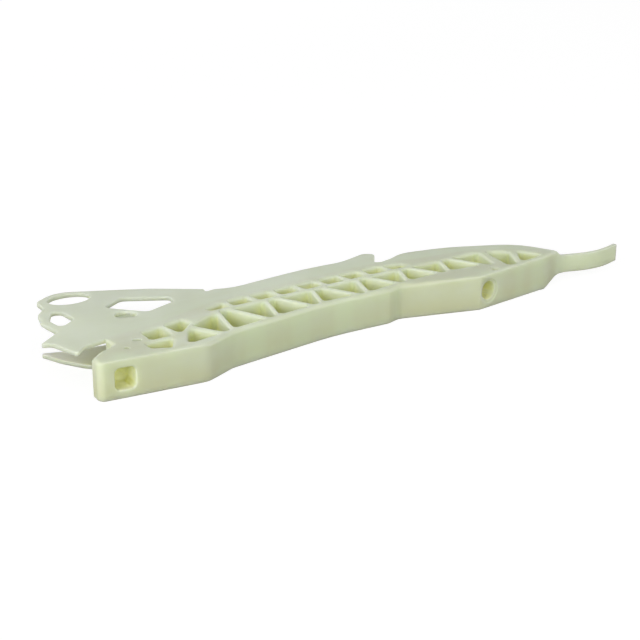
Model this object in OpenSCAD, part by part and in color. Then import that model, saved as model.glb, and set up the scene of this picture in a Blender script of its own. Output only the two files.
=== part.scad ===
/* [Section] */
// Thickness of the moulding, across the chain
thickness = 22.5; // [20:0.5:25]
// Thickness of each cheek beside the chain
cheek_t = 2.6; // [2:0.1:3.2]
// Thickness of the near wall
wall_t = 5; // [4:0.25:6.5]
// Thickness of the sliding rail that carries the chain
slide_t = 5; // [4:0.25:6]
// Thickness of the middle rail between the two rows of cores
rail_t = 3.6; // [2.5:0.1:5]
// Thickness of the ribs
rib_t = 3.4; // [2.5:0.1:4.5]

/* [Near wall] */
// Length of the arm's straight outer face
arm_len = 62; // [58:1:68]
// How far the arm stands proud of the datum line
arm_drop = 8.5; // [6:0.5:10]
// Length of the step from the arm to the waist
step_len = 24; // [20:1:28]
// Length of the waist
waist_len = 118; // [112:1:124]
// How far the waist's crest lies behind the datum line
waist_crest = 9.4; // [7:0.2:11]
// Length of the pad, from the waist to the heel
pad_len = 63; // [60:1:66]
// How far the heel stands proud of the datum line
heel_drop = 7; // [5:0.5:9]
// Length of the toe, from the heel to its bottom corner
toe_len = 64; // [61:1:68]

/* [Chain side] */
// Distance of the sliding face behind the datum line
slide_reach = 55.5; // [54.5:0.5:58.5]
// How far the cheeks stand past the sliding face along the body
cheek_over = 17.5; // [15:0.5:20]
// How far the cheeks stand past the sliding face along the toe
toe_over = 17; // [15:0.5:19]
// How far the lug stands past the cheek's edge
lug_rise = 5.5; // [4.5:0.5:8]

/* [Head] */
// Width of the arm at its nose
nose_w = 10.2; // [9:0.2:12]
// Width of the arm at the inner end of the slot
root_w = 23; // [21:0.5:24]
// Depth of the slot beside the arm
slot_depth = 19.5; // [17:0.5:21]
// Width of the slot at its inner end
slot_w = 9.5; // [8:0.5:11]
// Width of the locating socket in the arm
socket_w = 12; // [9:0.5:14]
// Height of the socket
socket_h = 12.5; // [8:0.5:13.5]
// Depth of the socket
socket_depth = 13; // [8:0.5:14]
// Distance of the socket's middle from the arm's nose
socket_x = 13.2; // [12:0.2:17]

/* [Ear] */
// How far the ear's top lies behind the datum line
ear_reach = 125.5; // [123:0.5:129]
// Length of the eyelet's hole
eyelet_l = 26.5; // [22:0.5:29]
// Width of the eyelet's hole
eyelet_w = 19; // [14:0.5:20]
// Distance of the window from the ear's outer edge
window_rim = 5; // [3:0.5:7]

/* [Lattice] */
// Pairs of cores in the zig-zag
core_pairs = 7; // [6:1:8]
// Distance from the middle rail's near side to the sliding face
second_w = 19.5; // [18:0.5:22]
// Corner radius of the cores
core_r = 2.2; // [1.2:0.1:2.4]

/* [Pin hole] */
// Diameter of the pin hole in the heel
pin_d = 12; // [8:0.5:12.5]
// Depth of the pin hole
pin_depth = 14; // [10:0.5:15]
// Diameter of the shallow seat round the pin hole
seat_d = 16; // [13:0.5:16.5]
// Depth of that seat
seat_depth = 0.8; // [0.4:0.1:1.2]
// Distance of the pin hole from the heel
pin_x = 8.5; // [8:0.5:11]

/* [Tongue] */
// Length of the tongue past the toe's bottom corner
tongue_len = 75; // [70:0.5:82]
// Width of the tongue, across the chain
tongue_w = 12.2; // [11:0.2:13.6]
// Thickness of the tongue
tongue_t = 3; // [2.4:0.1:3.6]

/* [Hidden] */
$fn = 64;
nylon = [0.80, 0.83, 0.71];
// Largest gap between a rounded corner and its chords
chord_tol = 0.03;

// Stations along the near wall, from the arm's nose
x_step = arm_len;
x_waist = x_step + step_len;
x_pad = x_waist + waist_len;
x_heel = x_pad + pad_len;
x_toe = x_heel + toe_len;

// Levels of the cheeks' edge and of the sliding face, behind the datum line
edge_y = slide_reach + cheek_over;
toe_slide_y = slide_reach - 8;
toe_edge_y = toe_slide_y + toe_over;

// One step back from the chain's path, to carry a cheek into the wall behind it
lap = 2;

// Each corner below is [x, y, radius], in the drawing's plan

// How far the nose's near corner leads the datum
nose_lead = 1.9;

// Near wall from the arm's nose to the toe's bottom corner
near_wall = [
    [-nose_lead, 0.1, 4],
    [x_step, -arm_drop, 14],
    [x_waist - 2, 0.8, 16],
    [x_waist + 0.64 * waist_len, waist_crest, 200],
    [x_pad, 7.2, 8],
    [x_pad + 10, 10.2, 9],
    [x_heel, -heel_drop, 5],
    [x_toe, 0, 40]
];

// First leg of the tongue, which the toe's near wall runs on into, and the toe's tip on it
tongue_root = 10;
tip_len = 16.3;
leg_len = 24;
leg_rise = 7.7 / leg_len;
toe_tip = [x_toe + tip_len, tip_len * leg_rise, 0];

// Sliding face, from the toe back to the slot beside the arm
slide_face = [
    [x_toe + 9, 15, 20],
    [x_heel + 40, toe_slide_y - 7.5, 70],
    [x_heel - 8, toe_slide_y, 80],
    [x_pad + 22, slide_reach, 90],
    [x_waist + 26, slide_reach - 1, 180],
    [x_step, root_w + slot_w + 6.5, 120],
    [slot_depth, root_w + slot_w, 2]
];

// Far side of the arm, from the slot's inner end to the nose
arm_back = [
    [slot_depth, root_w, 3],
    [7, nose_w + 7.1, 12],
    [-0.6, nose_w, 3]
];

body = concat(near_wall, [toe_tip], slide_face, arm_back);

// Edge of both cheeks, from the tip along the toe and past the lug
cheek_edge = [
    [x_toe + 7.3, 33.8, 36],
    [x_heel + 27.2, toe_edge_y - 7.9, 110],
    [x_heel - 8.4, toe_edge_y, 26],
    [x_heel - 20.3, toe_edge_y - 5.7, 25],
    [x_heel - 30.7, toe_edge_y - 7.9, 3],
    [x_heel - 34.7, toe_edge_y - 6.4, 1.5],
    [x_heel - 22.8, edge_y, 3],
    [x_heel - 28.6, edge_y + lug_rise, 6],
    [x_heel - 52, edge_y - 1, 40],
    [x_pad - 18.7, edge_y + 0.8, 200],
    [x_waist + 40.8, edge_y - 4.2, 30]
];

// Level in the ear at a share of the way from its root to its top
ear_root = 60;
function ear_y(share) = ear_root + share * (ear_reach - ear_root);

// Ear of the upper cheek, from its notch round the eyelet to the slot's mouth
ear_edge = [
    [x_waist + 31.4, edge_y, 2.5],
    [x_waist + 24.5, edge_y - 1, 0.8],
    [x_waist + 26.4, edge_y + 3.6, 2],
    [x_waist, ear_reach - 27.8, 120],
    [34.7, ear_reach, 18],
    [16.8, ear_reach - 10.9, 8],
    [15.8, ear_reach - 24.3, 1],
    [7.9, ear_y(0.5), 7],
    [3, ear_y(0.28), 18],
    [3.8, 59.1, 1],
    [-13.4, 46, 1.2],
    [-7.5, 44.3, 4],
    [-2.7, 21.4, 1.5],
    [5.7, 29.4, 6],
    [slot_depth, root_w + slot_w, 0]
];

// Head of the lower cheek, round its one prong
prong_edge = [
    [x_step, edge_y - 4, 60],
    [18, 76.3, 40],
    [2.6, 82.5, 1.5],
    [7.4, 66, 25],
    [14, 52.5, 20],
    [20.5, 43.5, 6],
    [slot_depth, root_w + slot_w, 0]
];

// Run of both cheeks inside the wall that carries them, back to the toe
cheek_seat = [
    for (i = [len(slide_face) - 1:-1:0])
        [slide_face[i][0] + (i == len(slide_face) - 1 ? lap : 0), slide_face[i][1] - lap, slide_face[i][2]]
];

upper_cheek = concat([toe_tip], cheek_edge, ear_edge, cheek_seat);
lower_cheek = concat([toe_tip], cheek_edge, prong_edge, cheek_seat);

// Near face of the tongue, from inside the toe to its free end
tongue_face = [
    [x_toe + tongue_root, tongue_root * leg_rise, 0],
    [x_toe + leg_len, leg_len * leg_rise, 18],
    [x_toe + leg_len + 0.51 * (tongue_len - leg_len), -1.8, 50],
    [x_toe + tongue_len, 4.7, 0]
];

// Direction of a vector
function unit(v) = v / norm(v);

// Chords that a turn of the given radius needs
function chords(r, sweep) = ceil(sweep / (2 * acos(1 - chord_tol / max(r, 4 * chord_tol))));

// Points of one rounded corner between its two neighbours
function corner(before, at, after, r) =
    let (
        back = unit(before - at),
        ahead = unit(after - at),
        half = acos(back * ahead) / 2,
        centre = at + unit(back + ahead) * r / sin(half),
        first = at + back * r / tan(half) - centre,
        start = atan2(first[1], first[0]),
        sweep = (180 - 2 * half) * (cross(back, ahead) > 0 ? -1 : 1),
        n = chords(r, abs(sweep))
    )
    r == 0 ? [at] : [for (i = [0:n]) centre + r * [cos(start + sweep * i / n), sin(start + sweep * i / n)]];

function spot(c) = [c[0], c[1]];

// Closed outline with every corner rounded
function rounded(c) = [
    for (i = [0:len(c) - 1])
        each corner(spot(c[(i + len(c) - 1) % len(c)]), spot(c[i]), spot(c[(i + 1) % len(c)]), c[i][2])
];

// Open line with its inner corners rounded
function rounded_line(c) = [
    spot(c[0]),
    for (i = [1:len(c) - 2]) each corner(spot(c[i - 1]), spot(c[i]), spot(c[i + 1]), c[i][2]),
    spot(c[len(c) - 1])
];

// Left-hand normal of a line at one of its points
function normal(p, i) =
    let (d = unit(p[min(i + 1, len(p) - 1)] - p[max(i - 1, 0)])) [-d[1], d[0]];

// Outline of a strip that lies to the left of a line
function strip(p, t) = concat(p, [for (i = [len(p) - 1:-1:0]) p[i] + t * normal(p, i)]);

// Level of a line of corners at one station
function level(c, x) = lookup(x, [for (p = c) spot(p)]);
function near_y(x) = level(near_wall, x);
function slide_y(x) = level(slide_face, x);

// Lower end of the cores: the near wall, or the solid shelf behind the pad and the heel
shelf = [[x_pad + 1, 0], [x_pad + 11, 16], [x_heel + 1, 16], [x_heel + 25, 12], [x_heel + 29, 0]];
function core_floor(x) = max(near_y(x) + wall_t, lookup(x, shelf));

// Upper end of the cores: the middle rail, which climbs from the arm to the body
arm_rail_y = 13;
rail_y = slide_reach - second_w;
rail = [[x_step - 1, arm_rail_y], [x_waist - 4, rail_y - 1], [x_waist + 8, rail_y]];
function core_roof(x) = min(lookup(x, rail), slide_y(x) - slide_t);

// Zig-zag of the first row, from the arm's step to the heel's boss
first_core = x_step + 3.4;
last_core = x_heel + 23.8;
zigzag = (last_core - first_core) / (core_pairs - 0.5);
core_tip = 2.4;
core_base = zigzag / 2 - rib_t - core_tip;

// One core of the first row, with its half widths at the near wall and at the rail
function row_core(x, below, above) = rounded([
    [x - below, core_floor(x - below), core_r],
    [x + below, core_floor(x + below), core_r],
    [x + above, core_roof(x + above), core_r],
    [x - above, core_roof(x - above), core_r]
]);

// Second row: small leaning cores between the middle rail and the sliding rail
second_half = zigzag / 4 - rib_t / 2;
second_lean = 0.7;
second_least = 5;
function second_floor(x) = core_roof(x) + rail_t;
function second_roof(x) = slide_y(x) - slide_t;
function second_r(x) = min(core_r, 0.3 * (second_roof(x) - second_floor(x)));
function second_core(x, lean) = rounded([
    [x - second_half - lean, second_floor(x - second_half), second_r(x)],
    [x + second_half - lean, second_floor(x + second_half), second_r(x)],
    [x + second_half + lean, second_roof(x + second_half), second_r(x)],
    [x - second_half + lean, second_roof(x - second_half), second_r(x)]
]);

// First core, in the root of the arm
head_core = rounded([
    [x_step - 28, 5, core_r],
    [x_step - 18.5, core_floor(x_step - 18.5), core_r],
    [x_step - 9.5, arm_rail_y, core_r],
    [x_step - 28, arm_rail_y, core_r]
]);

// Last two cores, in the tip of the toe, with a leaning rib between them
toe_core_x = last_core + core_tip + rib_t;
toe_rib = [x_toe - 21, x_toe - 8];
toe_rib_half = 0.7 * rib_t;
toe_core = rounded([
    [toe_core_x + 3, near_y(toe_core_x + 3) + wall_t, core_r],
    [toe_rib[0] - toe_rib_half, near_y(toe_rib[0] - toe_rib_half) + wall_t, core_r],
    [toe_rib[1] - toe_rib_half, core_roof(toe_rib[1] - toe_rib_half), core_r],
    [toe_core_x + core_base, core_roof(toe_core_x + core_base), core_r]
]);
tip_core = rounded([
    [toe_rib[0] + toe_rib_half, near_y(toe_rib[0] + toe_rib_half) + wall_t, core_r],
    [x_toe + 2, 6, core_r],
    [x_toe - 2, core_roof(x_toe - 2), core_r],
    [toe_rib[1] + toe_rib_half, core_roof(toe_rib[1] + toe_rib_half), core_r]
]);

// Small core between the heel's boss and the toe
heel_core_x = x_heel + pin_x + 11;
heel_core_r = 1;
heel_core = rounded([
    [heel_core_x - 2.5, near_y(heel_core_x - 2.5) + 4, heel_core_r],
    [heel_core_x + 2.5, near_y(heel_core_x + 2.5) + 4, heel_core_r],
    [heel_core_x, 6, heel_core_r]
]);

// Plan of the lattice, both walls and the arm
module lattice() {
    difference() {
        polygon(rounded(body));
        for (i = [0:core_pairs - 1]) {
            polygon(row_core(first_core + i * zigzag, core_base, core_tip));
            polygon(row_core(first_core + (i + 0.5) * zigzag, core_tip, core_base));
        }
        for (i = [-1:2 * core_pairs - 1]) {
            x = first_core + i * zigzag / 2;
            if (second_roof(x) - second_floor(x) > second_least) {
                polygon(second_core(x, i % 2 == 0 ? -second_lean : second_lean));
            }
        }
        polygon(head_core);
        polygon(toe_core);
        polygon(tip_core);
        polygon(heel_core);
    }
}

// Holes of the ear: eyelet, window and the kite-shaped hole between the prongs
eyelet_at = [36.2, ear_reach - 16.9];
module ear_holes() {
    translate(eyelet_at) {
        polygon([for (a = [0:10:350]) [eyelet_l / 2 * cos(a), eyelet_w / 2 * sin(a)]]);
    }
    polygon(rounded([
        [45.6, ear_y(0.33), 3],
        [62.9, 60.1, 4],
        [x_waist - 1.3, 67.5, 4],
        [x_waist + 1.2, 76.4, 3],
        [62.4, ear_reach - 28.7 - window_rim, 5]
    ]));
    polygon(rounded([
        [9.4, ear_y(0.08), 2.5],
        [21.6, ear_y(0.21), 4],
        [21.5, ear_y(0.465), 3.2],
        [16.3, ear_y(0.485), 3.2],
        [8.7, ear_y(0.295), 6]
    ]));
}

// Blind cup beside the window: its boss hangs below the upper cheek
cup_at = [49.5, 62.7];
cup_r = 6.5;
cup_wall = 1.6;
cup_depth = 2.4;
module cup_boss() {
    translate([cup_at[0], cup_at[1], thickness - cup_depth - cup_wall]) {
        cylinder(r = cup_r + cup_wall, h = cup_depth + cup_wall);
    }
}
module cup() {
    translate([cup_at[0], cup_at[1], thickness - cup_depth]) {
        cylinder(r = cup_r, h = cup_depth + 1);
    }
}

// Ejector marks on the arm, each [x, y, radius]
marks = [[33, 20.4, 2.6], [22.5, 12.4, 1.8]];
mark_depth = 0.7;
module ejector_marks() {
    for (m = marks) {
        translate([m[0], m[1], thickness - mark_depth]) {
            cylinder(r = m[2], h = mark_depth + 1);
        }
    }
}

// Rounded-square locating socket in the arm's outer face
socket_r = 3;
module socket() {
    w = socket_w / 2;
    h = socket_h / 2;
    mouth = [[-w, -h, socket_r], [w, -h, socket_r], [w, h, socket_r], [-w, h, socket_r]];
    translate([socket_x, near_y(socket_x), thickness / 2]) {
        rotate([-90, 0, -atan2(arm_drop, arm_len)]) {
            translate([0, 0, -2]) {
                linear_extrude(socket_depth + 2) {
                    polygon(rounded(mouth));
                }
            }
        }
    }
}

// Blind pin hole with its shallow seat, square to the toe's outer face
module pin_hole() {
    translate([x_heel + pin_x, near_y(x_heel + pin_x), thickness / 2]) {
        rotate([-90, 0, atan2(heel_drop, toe_len)]) {
            translate([0, 0, -2]) {
                cylinder(d = pin_d, h = pin_depth + 2);
                cylinder(d = seat_d, h = seat_depth + 2);
            }
        }
    }
}

// Thin curved tongue, of the full thickness at first
module tongue() {
    linear_extrude(thickness) {
        polygon(strip(rounded_line(tongue_face), tongue_t));
    }
}

// Reliefs under the toe and over the tongue, which bring the tongue to its own width
tongue_z = (thickness - tongue_w) / 2;
tongue_end = x_toe + tongue_len + 5;
under_x = x_toe + 1;
under_len = 14;
under_relief = [
    [under_x - under_len / tongue_z, -1, 0],
    [under_x + under_len, tongue_z, 12],
    [tongue_end, tongue_z, 0],
    [tongue_end, -1, 0]
];
over_x = toe_tip[0] - 0.8;
over_len = 7.5;
over_relief = [
    [over_x - over_len / tongue_z, thickness + 1, 0],
    [tongue_end, thickness + 1, 0],
    [tongue_end, thickness - tongue_z, 0],
    [over_x + over_len, thickness - tongue_z, 8]
];
module reliefs() {
    for (side = [under_relief, over_relief]) {
        translate([0, edge_y, 0]) {
            rotate([90, 0, 0]) {
                linear_extrude(2 * edge_y) {
                    polygon(rounded(side));
                }
            }
        }
    }
}

// Middle of the whole outline
outline = concat(rounded(body), rounded(upper_cheek), strip(rounded_line(tongue_face), tongue_t));
function middle(axis) =
    let (v = [for (p = outline) p[axis]]) (min(v) + max(v)) / 2;

module chain_guide() {
    color(nylon) {
        translate([-middle(0), -middle(1), 0]) {
            difference() {
                union() {
                    linear_extrude(thickness) {
                        lattice();
                    }
                    translate([0, 0, thickness - cheek_t]) {
                        linear_extrude(cheek_t) {
                            difference() {
                                polygon(rounded(upper_cheek));
                                ear_holes();
                            }
                        }
                    }
                    linear_extrude(cheek_t) {
                        polygon(rounded(lower_cheek));
                    }
                    cup_boss();
                    tongue();
                }
                cup();
                ejector_marks();
                socket();
                pin_hole();
                reliefs();
            }
        }
    }
}

chain_guide();
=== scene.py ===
import math

import bmesh
import bpy
import numpy as np
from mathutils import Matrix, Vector
from mathutils.bvhtree import BVHTree


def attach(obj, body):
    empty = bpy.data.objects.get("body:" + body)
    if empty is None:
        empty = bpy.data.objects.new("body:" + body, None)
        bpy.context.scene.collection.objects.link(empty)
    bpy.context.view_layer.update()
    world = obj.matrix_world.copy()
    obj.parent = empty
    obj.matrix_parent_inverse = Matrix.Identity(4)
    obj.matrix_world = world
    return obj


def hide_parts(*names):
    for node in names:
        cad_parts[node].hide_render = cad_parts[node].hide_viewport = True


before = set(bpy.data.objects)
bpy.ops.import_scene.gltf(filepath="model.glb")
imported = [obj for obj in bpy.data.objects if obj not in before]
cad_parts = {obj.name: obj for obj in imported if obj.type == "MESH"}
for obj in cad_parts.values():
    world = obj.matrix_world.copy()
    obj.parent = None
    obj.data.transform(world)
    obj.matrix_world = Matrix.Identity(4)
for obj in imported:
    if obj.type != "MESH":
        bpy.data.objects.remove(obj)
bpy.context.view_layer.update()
scene = bpy.context.scene
scene.view_settings.view_transform = "Standard"

# The camera stands low at the guide's head end and looks along its near wall, as the photograph does:
# a long lens some 0.9 m away, with the guide lying flat on the floor.
camera_data = bpy.data.cameras.new("camera")
camera_data.lens = 78.75
camera_data.sensor_width = 36.0
camera = bpy.data.objects.new("camera", camera_data)
scene.collection.objects.link(camera)
view_bearing = Vector((0.596, 0.803, 0.0)).normalized()
view_pitch = math.radians(19.255)
view_direction = view_bearing * math.cos(view_pitch) - Vector((0.0, 0.0, math.sin(view_pitch)))
camera.location = (-0.517514, -0.684014, 0.28944)
camera.rotation_euler = view_direction.to_track_quat("-Z", "Y").to_euler()
scene.camera = camera

# The guide is one injection moulding in natural nylon, left in its own greenish ivory. The mould rounds its
# edges: broadly along the outer walls, less round the cores, and least on the thin cheeks and the tongue.
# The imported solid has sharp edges, so each flat face is cut back and filled again inside its roundings.

# Radii of the roundings in metres, on the outer walls, the cores, the cheeks, the mouths of the side holes
# and the underside, and the number of steps in each rounding.
WALL_EDGE = 0.0032
CORE_EDGE = 0.0019
CHEEK_EDGE = 0.0008
MOUTH_EDGE = 0.0011
UNDER_EDGE = 0.0009
EDGE_STEPS = 4

# The most that a rounding takes of a cheek's thickness, of a bend's radius and of the gap to the next rim,
# the most that its radius changes for each metre along the rim, and a size that limits nothing.
CHEEK_SHARE = 0.3
BEND_SHARE = 0.8
RIM_SHARE = 0.45
TAPER = 0.25
NO_LIMIT = 1.0

# What counts as a wall of the full height, a sharp edge, one flat face, a straight rim, and a face that lies
# level or stands upright, by how high its normal points.
FULL_HEIGHT = 0.018
SHARP = math.radians(35)
FLAT = math.radians(0.1)
STRAIGHT = 1e-4
LEVEL = 0.99
UPRIGHT = 0.01

# Points this close are one point, a ray starts this far off its wall, and the square of a side's length
# counts as at least this, so that nothing is divided by zero.
WELD = 1e-6
RAY_START = 1e-4
LEAST_SQUARE = 1e-18

shape = bmesh.new()
shape.from_mesh(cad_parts["chain_guide"].data)
bmesh.ops.remove_doubles(shape, verts=shape.verts, dist=WELD)
shape.normal_update()
surface = BVHTree.FromBMesh(shape)


def flat_face(first):
    """All the faces that lie in one plane with the first one and join up with it, in the order found."""
    found = {first: None}
    waiting = [first]
    while waiting:
        for edge in waiting.pop().edges:
            for face in edge.link_faces:
                if face not in found and face.normal.angle(first.normal) < FLAT:
                    found[face] = None
                    waiting.append(face)
    return found


def flat_faces(wanted):
    """Every flat face whose normal is wanted."""
    seen = set()
    found = []
    for face in shape.faces:
        if face not in seen and wanted(face.normal):
            faces = flat_face(face)
            seen.update(faces)
            found.append(faces)
    return found


def rims(faces):
    """The closed rims of a flat face, each a list of its corners with the face on the left."""
    ahead = {}
    for face in faces:
        for loop in face.loops:
            if any(f not in faces for f in loop.edge.link_faces):
                ahead[loop.vert] = loop
    while ahead:
        rim = []
        vert = next(iter(ahead))
        while vert in ahead:
            loop = ahead.pop(vert)
            rim.append(loop)
            vert = loop.link_loop_next.vert
        yield rim


def wall_round(loop, faces):
    """Radius wanted on one edge of a flat face, by the wall that falls away from it there."""
    wall = next(f for f in loop.edge.link_faces if f not in faces)
    if not loop.edge.is_convex or loop.edge.calc_face_angle() < SHARP:
        return 0.0
    if abs(loop.face.normal.z) < LEVEL:
        return MOUTH_EDGE
    levels = [v.co.z for v in wall.verts]
    wall_height = max(levels) - min(levels)
    if wall_height < FULL_HEIGHT:
        return min(CHEEK_EDGE, CHEEK_SHARE * wall_height)
    if loop.face.normal.z < 0:
        return UNDER_EDGE
    start = wall.calc_center_median() + wall.normal * RAY_START
    return CORE_EDGE if surface.ray_cast(start, wall.normal)[0] else WALL_EDGE


def gaps_to_sides(points, rim):
    """Distance from each point (row) to each side (column) of a closed rim."""
    starts = np.array(rim)
    spans = np.roll(starts, -1, axis=0) - starts
    squares = np.maximum((spans * spans).sum(1), LEAST_SQUARE)
    reach = np.array(points)[:, None, :] - starts
    along = np.clip((reach * spans).sum(2) / squares, 0.0, 1.0)
    return np.sqrt(((reach - along[:, :, None] * spans) ** 2).sum(2))


def rim_room(points, others):
    """Room at each corner of a rim: the least gap to the other rims from it and from the sides it ends."""
    room = np.full(len(points), NO_LIMIT)
    for other in others:
        sides = gaps_to_sides(other, points).min(0)
        corners = gaps_to_sides(points, other).min(1)
        room = np.minimum.reduce([room, corners, sides, np.roll(sides, 1)])
    return room.tolist()


def rim_sizes(rim, faces, others):
    """Inward step and radius at each corner of a rim, with no bend rounded past its own radius."""
    normal = rim[0].face.normal
    count = len(rim)
    points = [loop.vert.co.copy() for loop in rim]
    spans = [points[(i + 1) % count] - points[i] for i in range(count)]
    wanted = [wall_round(loop, faces) for loop in rim]
    room = rim_room([tuple(p) for p in points], others) if any(wanted) else [0.0] * count
    steps = []
    radii = []
    for i in range(count):
        before, after = spans[i - 1], spans[i]
        inward = [normal.cross(s.normalized()) for s in (before, after)]
        steps.append((inward[0] + inward[1]) / (1 + inward[0].dot(inward[1])))
        turn = before.angle(after) if before.cross(after).dot(normal) > 0 else 0.0
        bend = NO_LIMIT
        if turn > STRAIGHT:
            bend = min(before.length, after.length) / (2 * math.sin(turn / 2))
        radii.append(min(wanted[i - 1], wanted[i], BEND_SHARE * bend, RIM_SHARE * room[i]))
    # Twice round each way, so that the taper also holds across the place where the list begins.
    onward = list(range(count)) * 2
    for i in onward:
        radii[i] = min(radii[i], radii[i - 1] + TAPER * spans[i - 1].length)
    for i in reversed(onward):
        radii[i] = min(radii[i], radii[(i + 1) % count] + TAPER * spans[i].length)
    return points, steps, radii


def round_rims(faces):
    """Rounds every sharp outer edge of one flat face, and fills the face again inside the roundings."""
    normal = next(iter(faces)).normal.copy()
    face_rims = list(rims(faces))
    outlines = [[tuple(loop.vert.co) for loop in rim] for rim in face_rims]
    sizes = [
        rim_sizes(rim, faces, outlines[:i] + outlines[i + 1:]) for i, rim in enumerate(face_rims)
    ]
    if not any(max(radii) > 0 for _, _, radii in sizes):
        return
    corners = [[loop.vert for loop in rim] for rim in face_rims]
    bmesh.ops.delete(shape, geom=list(faces), context="FACES_KEEP_BOUNDARY")
    inner_edges = []
    for verts, (points, steps, radii) in zip(corners, sizes):
        count = len(verts)
        ring = verts
        for vert, radius in zip(verts, radii):
            vert.co -= normal * radius
        for k in range(1, EDGE_STEPS + 1):
            angle = k / EDGE_STEPS * math.pi / 2
            inward = 1 - math.cos(angle)
            down = 1 - math.sin(angle)
            next_ring = [
                shape.verts.new(p + s * r * inward - normal * r * down) if r > 0 else v
                for v, p, s, r in zip(verts, points, steps, radii)
            ]
            for i in range(count):
                j = (i + 1) % count
                around = [ring[i], ring[j], next_ring[j], next_ring[i]]
                around = [v for n, v in enumerate(around) if v not in around[:n]]
                if len(around) > 2:
                    shape.faces.new(around)
            ring = next_ring
        for i in range(count):
            pair = (ring[i], ring[(i + 1) % count])
            inner_edges.append(shape.edges.get(pair) or shape.edges.new(pair))
    bmesh.ops.triangle_fill(shape, edges=inner_edges, use_beauty=True, normal=normal)
    shape.normal_update()


# Top, underside and cheeks come first, then the upright faces that have a hole in them.
for faces in flat_faces(lambda normal: abs(normal.z) > LEVEL):
    round_rims(faces)
shape.normal_update()
for faces in flat_faces(lambda normal: abs(normal.z) < UPRIGHT):
    if len(list(rims(faces))) > 1:
        round_rims(faces)

for face in shape.faces:
    face.smooth = True
guide_mesh = bpy.data.meshes.new("guide_moulding")
shape.to_mesh(guide_mesh)
shape.free()
guide_mesh.set_sharp_from_angle(angle=SHARP)

guide = bpy.data.objects.new("guide_moulding", guide_mesh)
scene.collection.objects.link(guide)
shading = guide.modifiers.new("shading", "WEIGHTED_NORMAL")
shading.keep_sharp = True

# Ivories of the nylon: as moulded and in its clouds and flow lines; a painted shade at the walls' foot; and
# painted light in thin sections, in hollows, on the floor of the chain channel, and deep in the cores.
IVORY = (0.622, 0.668, 0.505, 1.0)
CLOUD_IVORY = (0.588, 0.622, 0.430, 1.0)
FLOW_IVORY = (0.660, 0.715, 0.570, 1.0)
PAINTED_FOOT_SHADE = (0.535, 0.545, 0.320, 1.0)
PAINTED_THIN_GLOW = (0.665, 0.800, 0.570, 1.0)
PAINTED_HOLLOW_LIGHT = (0.780, 0.845, 0.580, 1.0)
PAINTED_CHANNEL_LIGHT = (0.960, 0.985, 0.660, 1.0)
PAINTED_DEEP_GLOW = (0.900, 0.900, 0.400, 1.0)

# Sizes that the tints go by, in metres: how far to look through a thin section and across a hollow, and the
# heights over which the painted shade at the walls' foot and the painted light on the channel's floor fade
# out.
THIN_SECTION = 0.008
HOLLOW_WIDTH = 0.030
FOOT_SHADE_HEIGHTS = (0.0, 0.015)
CHANNEL_HEIGHT = (0.004, 0.009)

nylon = bpy.data.materials.new("natural_nylon")
nylon.use_nodes = True
nodes = nylon.node_tree.nodes
links = nylon.node_tree.links
shader = nodes["Principled BSDF"]
shader.inputs["IOR"].default_value = 1.53
shader.inputs["Specular IOR Level"].default_value = 0.2
shader.inputs["Subsurface Weight"].default_value = 1.0
shader.inputs["Subsurface Radius"].default_value = (1.0, 1.0, 0.8)
shader.inputs["Subsurface Scale"].default_value = 0.010
place = nodes.new("ShaderNodeTexCoord")


def nylon_noise(cells, detail):
    """Noise over the moulding, with its own number of cells per metre along each axis."""
    scaled = nodes.new("ShaderNodeMapping")
    scaled.inputs["Scale"].default_value = cells
    links.new(place.outputs["Object"], scaled.inputs["Vector"])
    noise = nodes.new("ShaderNodeTexNoise")
    noise.inputs["Scale"].default_value = 1.0
    noise.inputs["Detail"].default_value = detail
    links.new(scaled.outputs["Vector"], noise.inputs["Vector"])
    return noise.outputs["Fac"]


def along_axes(vector):
    """The three parts of a vector."""
    node = nodes.new("ShaderNodeSeparateXYZ")
    links.new(vector, node.inputs["Vector"])
    return node.outputs


def openness(distance, inside):
    """Low in hollows, or in thin sections when it looks inside the plastic, and high elsewhere."""
    node = nodes.new("ShaderNodeAmbientOcclusion")
    node.samples = 16
    node.inside = inside
    node.only_local = True
    node.inputs["Distance"].default_value = distance
    return node.outputs["AO"]


def spread(value, span, onto):
    """The value carried from one span onto another, and held inside it."""
    node = nodes.new("ShaderNodeMapRange")
    for socket, number in zip(("From Min", "From Max", "To Min", "To Max"), span + onto):
        node.inputs[socket].default_value = number
    links.new(value, node.inputs["Value"])
    return node.outputs["Result"]


def joined(operation, first, second):
    """Two values put together by one sum."""
    node = nodes.new("ShaderNodeMath")
    node.operation = operation
    links.new(first, node.inputs[0])
    links.new(second, node.inputs[1])
    return node.outputs["Value"]


def tinted(colour, tint, mask):
    """The colour turned towards a tint where the mask is high."""
    node = nodes.new("ShaderNodeMix")
    node.data_type = "RGBA"
    base, towards = [socket for socket in node.inputs if socket.type == "RGBA"]
    links.new(mask, node.inputs["Factor"])
    if isinstance(colour, tuple):
        base.default_value = colour
    else:
        links.new(colour, base)
    towards.default_value = tint
    return next(socket for socket in node.outputs if socket.type == "RGBA")


clouds = nylon_noise((24.0, 24.0, 24.0), detail=3.0)
flow = nylon_noise((14.0, 90.0, 60.0), detail=4.0)
grain = nylon_noise((2200.0, 2200.0, 2200.0), detail=2.0)
draw_marks = nylon_noise((1500.0, 1500.0, 45.0), detail=2.0)
height = along_axes(place.outputs["Object"])["Z"]
facing_up = along_axes(place.outputs["Normal"])["Z"]
thickness = openness(THIN_SECTION, inside=True)
open_air = openness(HOLLOW_WIDTH, inside=False)
channel_light_mask = joined(
    "MULTIPLY",
    spread(facing_up, (0.60, 0.95), (0.0, 1.0)),
    spread(height, CHANNEL_HEIGHT, (0.95, 0.0)),
)
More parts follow.
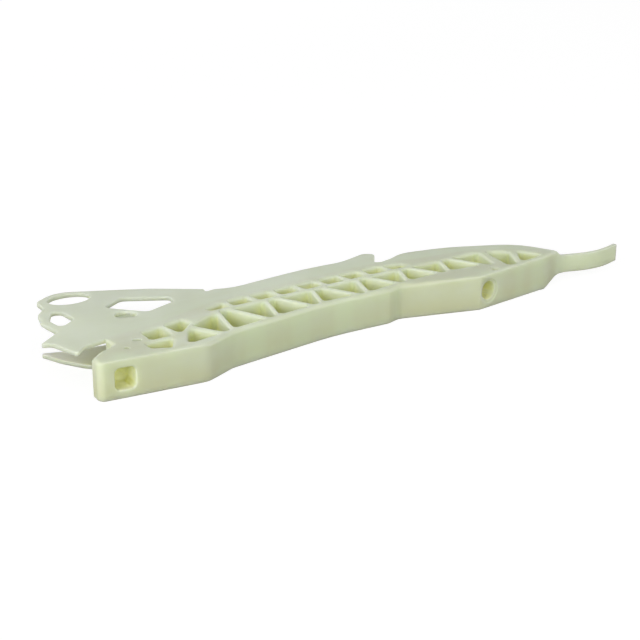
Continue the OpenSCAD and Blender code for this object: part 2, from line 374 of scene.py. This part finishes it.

# The last four tints are painted light, standing in for light that passes through the nylon: greener in thin
# sections, paler in hollows and on the channel's floor, and yellower deep inside.
colour = tinted(IVORY, CLOUD_IVORY, spread(clouds, (0.35, 0.68), (0.0, 0.75)))
colour = tinted(colour, FLOW_IVORY, spread(flow, (0.45, 0.75), (0.0, 0.5)))
# Painted shade: darker and yellower low on the walls, fading out upwards over the first 15 mm.
colour = tinted(colour, PAINTED_FOOT_SHADE, spread(height, FOOT_SHADE_HEIGHTS, (0.6, 0.0)))
colour = tinted(colour, PAINTED_THIN_GLOW, spread(thickness, (0.15, 0.80), (0.50, 0.0)))
colour = tinted(colour, PAINTED_HOLLOW_LIGHT, spread(open_air, (0.35, 0.93), (0.45, 0.0)))
colour = tinted(colour, PAINTED_CHANNEL_LIGHT, channel_light_mask)
colour = tinted(colour, PAINTED_DEEP_GLOW, spread(open_air, (0.05, 0.46), (0.95, 0.0)))
links.new(colour, shader.inputs["Base Color"])
links.new(spread(clouds, (0.30, 0.70), (0.40, 0.54)), shader.inputs["Roughness"])

# A fine grain, and the marks that the mould draws up the walls as it opens.
bump = nodes.new("ShaderNodeBump")
bump.inputs["Strength"].default_value = 0.25
bump.inputs["Distance"].default_value = 0.0001
links.new(joined("ADD", grain, draw_marks), bump.inputs["Height"])
links.new(bump.outputs["Normal"], shader.inputs["Normal"])
guide_mesh.materials.append(nylon)
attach(guide, "root")
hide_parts("chain_guide")

# The floor is a plain sweep of white paper that the guide lies on. It looks white to the camera and in gloss,
# keeps a faint shadow of the guide, and sends only a little warm light back up.
FLOOR_HALF = 6.0
floor_corners = [(x * FLOOR_HALF, y * FLOOR_HALF, 0) for x, y in ((-1, -1), (1, -1), (1, 1), (-1, 1))]
floor_mesh = bpy.data.meshes.new("floor")
floor_mesh.from_pydata(floor_corners, [], [(0, 1, 2, 3)])
floor = bpy.data.objects.new("floor", floor_mesh)
scene.collection.objects.link(floor)


def seen_rays(tree):
    """One for rays that show the surroundings to the eye, in person, mirrored or through glass."""
    path = tree.nodes.new("ShaderNodeLightPath")
    total = path.outputs["Is Camera Ray"]
    for ray in ("Is Glossy Ray", "Is Transmission Ray"):
        add = tree.nodes.new("ShaderNodeMath")
        add.operation = "ADD"
        add.use_clamp = True
        tree.links.new(total, add.inputs[0])
        tree.links.new(path.outputs[ray], add.inputs[1])
        total = add.outputs["Value"]
    return total


white = bpy.data.materials.new("white_sweep")
white.use_nodes = True
sweep = white.node_tree
sweep.nodes.remove(sweep.nodes["Principled BSDF"])
paper = sweep.nodes.new("ShaderNodeBsdfDiffuse")
paper.inputs["Color"].default_value = (0.30, 0.28, 0.16, 1.0)
faint = sweep.nodes.new("ShaderNodeBsdfDiffuse")
faint.inputs["Color"].default_value = (0.2, 0.2, 0.2, 1.0)
glow = sweep.nodes.new("ShaderNodeEmission")
glow.inputs["Strength"].default_value = 0.88
seen_paper = sweep.nodes.new("ShaderNodeAddShader")
sweep.links.new(faint.outputs["BSDF"], seen_paper.inputs[0])
sweep.links.new(glow.outputs["Emission"], seen_paper.inputs[1])
either_paper = sweep.nodes.new("ShaderNodeMixShader")
sweep.links.new(seen_rays(sweep), either_paper.inputs["Fac"])
sweep.links.new(paper.outputs["BSDF"], either_paper.inputs[1])
sweep.links.new(seen_paper.outputs["Shader"], either_paper.inputs[2])
sweep.links.new(either_paper.outputs["Shader"], sweep.nodes["Material Output"].inputs["Surface"])
floor_mesh.materials.append(white)

# The studio is a pale room. Its walls light the guide weakly from all sides, and look white to the camera and
# in gloss.
world = bpy.data.worlds.new("studio")
world.use_nodes = True
room = world.node_tree
walls = room.nodes["Background"]
walls.inputs["Color"].default_value = (1.0, 1.0, 1.0, 1.0)
walls.inputs["Strength"].default_value = 0.25
backdrop = room.nodes.new("ShaderNodeBackground")
backdrop.inputs["Color"].default_value = (1.0, 1.0, 1.0, 1.0)
backdrop.inputs["Strength"].default_value = 1.0
either_wall = room.nodes.new("ShaderNodeMixShader")
room.links.new(seen_rays(room), either_wall.inputs["Fac"])
room.links.new(walls.outputs["Background"], either_wall.inputs[1])
room.links.new(backdrop.outputs["Background"], either_wall.inputs[2])
room.links.new(either_wall.outputs["Shader"], room.nodes["World Output"].inputs["Surface"])
scene.world = world

# Four broad round lamps stand low and far off, so that their light is even along the guide: the strongest at
# its head end, and weaker ones in front, at the toe end and behind.
LAMP_WIDTH = 2.6


def soft_lamp(name, stand, watts):
    """A broad round lamp that looks at the guide from where it stands."""
    data = bpy.data.lights.new(name, "AREA")
    data.shape = "DISK"
    data.size = LAMP_WIDTH
    data.energy = watts
    lamp = bpy.data.objects.new(name, data)
    lamp.location = stand
    lamp.rotation_euler = (-Vector(stand)).to_track_quat("-Z", "Y").to_euler()
    scene.collection.objects.link(lamp)


soft_lamp("head_lamp", (-2.6, -0.8, 0.7), watts=78.0)
soft_lamp("front_lamp", (-0.7, -2.7, 0.75), watts=35.0)
soft_lamp("toe_lamp", (2.4, -1.2, 0.8), watts=24.0)
soft_lamp("back_lamp", (0.6, 2.7, 0.9), watts=19.0)
